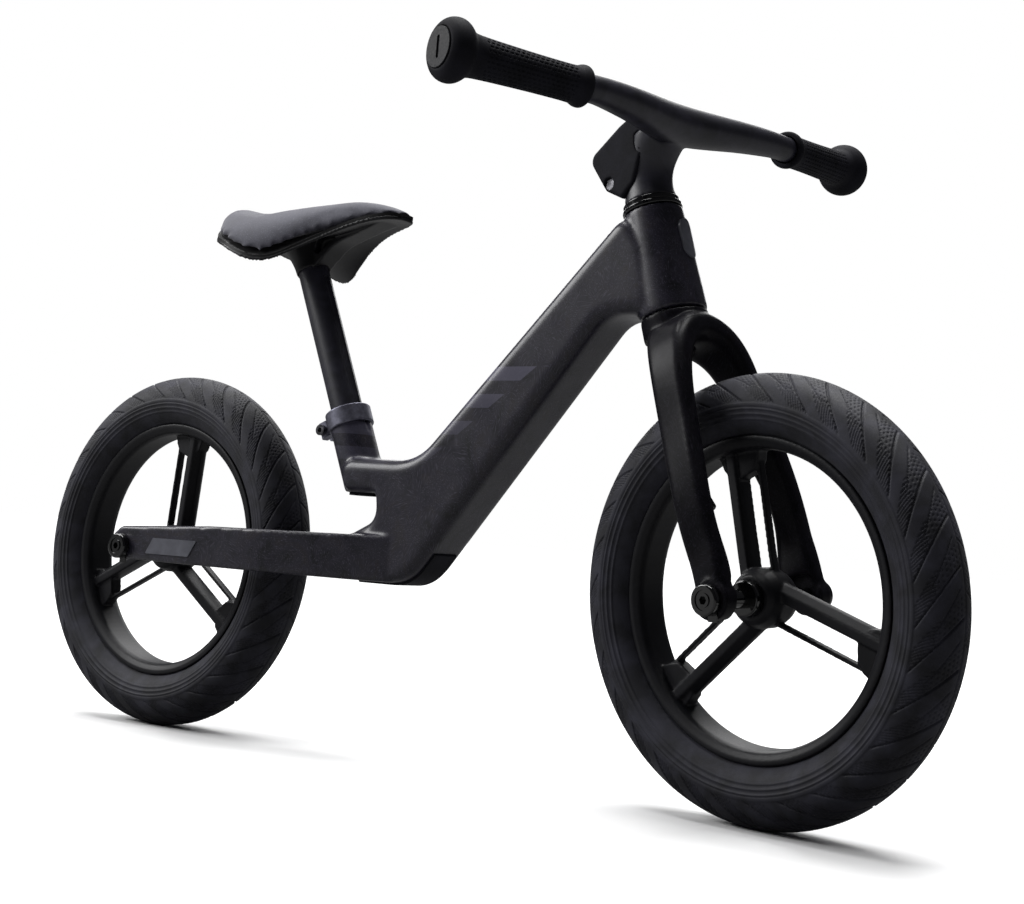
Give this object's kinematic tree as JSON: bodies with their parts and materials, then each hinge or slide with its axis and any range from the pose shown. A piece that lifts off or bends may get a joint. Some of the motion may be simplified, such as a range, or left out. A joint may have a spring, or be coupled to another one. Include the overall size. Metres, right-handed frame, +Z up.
{
  "type": "balance bike",
  "caption": "Child's balance bike with moulded spar frame, three-blade wheels, air tyres, one-piece bar and stem, and a sliding saddle.",
  "frame": {"origin": "on the ground, midway between the two axles, in the frame's middle plane", "axes": "+X forward along the frame, +Y to the rider's left, +Z up"},
  "size_m": [0.8691, 0.4468, 0.5128],
  "materials": {
    "frame_composite": "satin clear coat over dark speckled composite",
    "fork_composite": "satin clear coat over dark speckled composite",
    "satin_composite": "fine satin black",
    "wheel_nylon": "moulded glass-filled nylon, fine texture",
    "tyre_rubber": "moulded tread rubber",
    "tube_rubber": "smooth butyl",
    "soft_rubber": "matt soft-touch rubber",
    "grip_end": "smooth rubber inlay",
    "plate": "grey satin plate",
    "bearing_steel": "ground bearing steel",
    "gloss_black": "polished black",
    "anodised_black": "black anodised, bead blasted",
    "fastener_steel": "black oxide with worn socket",
    "cap_plastic": "moulded nylon",
    "trim_black": "dark moulded edge",
    "saddle_cover": "matt coated fabric over foam"
  },
  "bodies": {
    "frame_group": {"frame": "frame_composite", "belly_guard": "soft_rubber", "seat_tube_plug": "soft_rubber", "head_badge": "plate", "stay_plate_right": "plate", "stay_plate_left": "plate", "headset_bearing_lower": "bearing_steel", "headset_bearing_upper": "bearing_steel", "headset_cover": "gloss_black", "seat_clamp": "anodised_black", "seat_clamp_bolt": "fastener_steel", "seat_clamp_nut": "fastener_steel", "rear_axle": "anodised_black", "rear_hub_spacer_right": "gloss_black", "rear_hub_spacer_left": "gloss_black", "rear_axle_washer_right": "gloss_black", "rear_axle_washer_left": "gloss_black", "rear_axle_bolt_right": "gloss_black", "rear_axle_bolt_left": "gloss_black"},
    "steering_group": {"fork": "fork_composite", "steerer_tube": "anodised_black", "crown_race": "bearing_steel", "headset_spacer": "gloss_black", "handlebar": "satin_composite", "stem_pad": "soft_rubber", "stem_bolt": "fastener_steel", "grip_right": "soft_rubber", "grip_left": "soft_rubber", "grip_end_right": "grip_end", "grip_end_left": "grip_end", "front_axle": "anodised_black", "front_hub_spacer_right": "gloss_black", "front_hub_spacer_left": "gloss_black", "front_axle_washer_right": "gloss_black", "front_axle_washer_left": "gloss_black", "front_axle_bolt_right": "gloss_black", "front_axle_bolt_left": "gloss_black"},
    "seat_group": {"seat_post": "satin_composite", "saddle_base": "cap_plastic", "saddle_trim": "trim_black", "saddle_pad": "saddle_cover", "saddle_screw": "fastener_steel"},
    "front_wheel": {"front_wheel_rim": "wheel_nylon", "front_wheel_spider": "wheel_nylon", "front_tyre": "tyre_rubber", "front_inner_tube": "tube_rubber", "front_valve": "anodised_black", "front_valve_cap": "cap_plastic", "front_hub_bearing_right": "bearing_steel", "front_hub_bearing_left": "bearing_steel"},
    "rear_wheel": {"rear_wheel_rim": "wheel_nylon", "rear_wheel_spider": "wheel_nylon", "rear_tyre": "tyre_rubber", "rear_inner_tube": "tube_rubber", "rear_valve": "anodised_black", "rear_valve_cap": "cap_plastic", "rear_hub_bearing_right": "bearing_steel", "rear_hub_bearing_left": "bearing_steel"}
  },
  "joints": [
    {"name": "steering", "type": "hinge", "parent": "frame_group", "child": "steering_group", "pos_m": [0.3032, 0, 0], "axis": [-0.289, 0, 0.9573], "range_deg": [-75.5, 94.5]},
    {"name": "front_wheel_spin", "type": "hinge", "parent": "steering_group", "child": "front_wheel", "pos_m": [0.28664, -0.00452, 0.14839], "axis": [0.158, 0.9863, 0.0477], "continuous": true},
    {"name": "rear_wheel_spin", "type": "hinge", "parent": "frame_group", "child": "rear_wheel", "pos_m": [-0.287, 0, 0.1485], "axis": [0, 1, 0], "continuous": true},
    {"name": "seat_height", "type": "slide", "parent": "frame_group", "child": "seat_group", "axis": [-0.4067, 0, 0.9135], "range_m": [-0.028, 0]}
  ]
}
